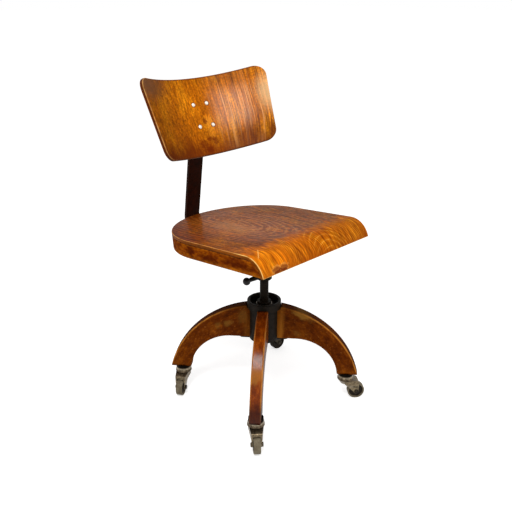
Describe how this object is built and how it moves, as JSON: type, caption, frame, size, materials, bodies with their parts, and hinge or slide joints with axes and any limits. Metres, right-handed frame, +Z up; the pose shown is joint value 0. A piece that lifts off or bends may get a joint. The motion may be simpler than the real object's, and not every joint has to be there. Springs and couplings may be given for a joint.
{
  "type": "swivel office chair",
  "caption": "Wooden swivel office chair: arched legs on casters, screw spindle with lock lever, rolled plywood seat and a curved plywood backrest that tilts on a flat steel bar.",
  "frame": {"origin": "on the floor, on the spindle axis", "axes": "+Z up along the spindle, -Y the way the sitter faces, -X the sitter's right"},
  "size_m": [0.4369, 0.5047, 0.8515],
  "materials": {
    "seat_ply": "amber lacquer, worn at the edges",
    "leg_wood": "brown lacquer, worn at the edges",
    "hidden_wood": "bare wood",
    "black_iron": "oiled black",
    "dark_paint": "satin dark brown paint",
    "nickel": "tarnished nickel plate",
    "steel": "dull steel",
    "bronze": "oiled bronze",
    "black_ball": "gloss black",
    "wheel": "worn grey tread, dark web"
  },
  "bodies": {
    "base": {"hub": "black_iron", "hub_plate": "black_iron", "hub_plate_screws": "steel", "leg_screws": "steel", "spindle_bush": "bronze", "thrust_washer": "steel", "leg_front_right": "leg_wood", "caster_sleeve_front_right": "black_iron", "leg_front_left": "leg_wood", "caster_sleeve_front_left": "black_iron", "leg_rear_left": "leg_wood", "caster_sleeve_rear_left": "black_iron", "leg_rear_right": "leg_wood", "caster_sleeve_rear_right": "black_iron"},
    "spindle": {"spindle": "black_iron", "spindle_collar": "black_iron", "spindle_end_nut": "black_iron"},
    "seat": {"seat_panel": "seat_ply", "seat_rim": "seat_ply", "front_bearer": "hidden_wood", "rear_bearer": "hidden_wood", "seat_socket": "black_iron", "socket_screws": "steel", "back_bar": "dark_paint", "bar_bolts": "steel", "bar_nuts": "steel"},
    "lock": {"lock_nut": "black_iron", "lock_arm": "black_iron", "lock_ball": "black_ball"},
    "backrest": {"back_panel": "seat_ply", "back_bracket": "dark_paint", "back_rivets": "nickel", "back_pin": "steel", "back_pin_nut": "steel"},
    "caster_front_right": {"caster_stem_front_right": "nickel", "caster_fork_front_right": "nickel", "caster_axle_front_right": "nickel", "caster_nut_front_right": "nickel"},
    "wheel_front_right": {"caster_wheel_front_right": "wheel"},
    "caster_front_left": {"caster_stem_front_left": "nickel", "caster_fork_front_left": "nickel", "caster_axle_front_left": "nickel", "caster_nut_front_left": "nickel"},
    "wheel_front_left": {"caster_wheel_front_left": "wheel"},
    "caster_rear_left": {"caster_stem_rear_left": "nickel", "caster_fork_rear_left": "nickel", "caster_axle_rear_left": "nickel", "caster_nut_rear_left": "nickel"},
    "wheel_rear_left": {"caster_wheel_rear_left": "wheel"},
    "caster_rear_right": {"caster_stem_rear_right": "nickel", "caster_fork_rear_right": "nickel", "caster_axle_rear_right": "nickel", "caster_nut_rear_right": "nickel"},
    "wheel_rear_right": {"caster_wheel_rear_right": "wheel"}
  },
  "joints": [
    {"name": "seat_swivel", "type": "hinge", "parent": "base", "child": "spindle", "pos_m": [0, 0, 0.2825], "axis": [0, 0, 1], "continuous": true},
    {"name": "seat_height", "type": "slide", "parent": "spindle", "child": "seat", "axis": [0, 0, 1], "range_m": [-0.04, 0.035]},
    {"name": "lock_turn", "type": "hinge", "parent": "seat", "child": "lock", "pos_m": [0, 0, 0.3621], "axis": [0, 0, 1], "range_deg": [-60, 20]},
    {"name": "back_tilt", "type": "hinge", "parent": "seat", "child": "backrest", "pos_m": [0, 0.24887, 0.73124], "axis": [1, 0, 0], "range_deg": [-6, 30]},
    {"name": "caster_swivel_front_right", "type": "hinge", "parent": "base", "child": "caster_front_right", "pos_m": [-0.17151, -0.14442, 0.0811], "axis": [0, 0, 1], "continuous": true},
    {"name": "wheel_spin_front_right", "type": "hinge", "parent": "caster_front_right", "child": "wheel_front_right", "pos_m": [-0.19098, -0.16763, 0.0232], "axis": [-0.766, 0.6428, 0], "continuous": true},
    {"name": "caster_swivel_front_left", "type": "hinge", "parent": "base", "child": "caster_front_left", "pos_m": [0.14442, -0.17151, 0.0811], "axis": [0, 0, 1], "continuous": true},
    {"name": "wheel_spin_front_left", "type": "hinge", "parent": "caster_front_left", "child": "wheel_front_left", "pos_m": [0.16797, -0.19058, 0.0232], "axis": [-0.6293, -0.7771, 0], "continuous": true},
    {"name": "caster_swivel_rear_left", "type": "hinge", "parent": "base", "child": "caster_rear_left", "pos_m": [0.17151, 0.14442, 0.0811], "axis": [0, 0, 1], "continuous": true},
    {"name": "wheel_spin_rear_left", "type": "hinge", "parent": "caster_rear_left", "child": "wheel_rear_left", "pos_m": [0.20171, 0.14205, 0.0232], "axis": [-0.0785, -0.9969, 0], "continuous": true},
    {"name": "caster_swivel_rear_right", "type": "hinge", "parent": "base", "child": "caster_rear_right", "pos_m": [-0.14442, 0.17151, 0.0811], "axis": [0, 0, 1], "continuous": true},
    {"name": "wheel_spin_rear_right", "type": "hinge", "parent": "caster_rear_right", "child": "wheel_rear_right", "pos_m": [-0.16954, 0.15456, 0.0232], "axis": [-0.5592, 0.829, 0], "continuous": true}
  ]
}
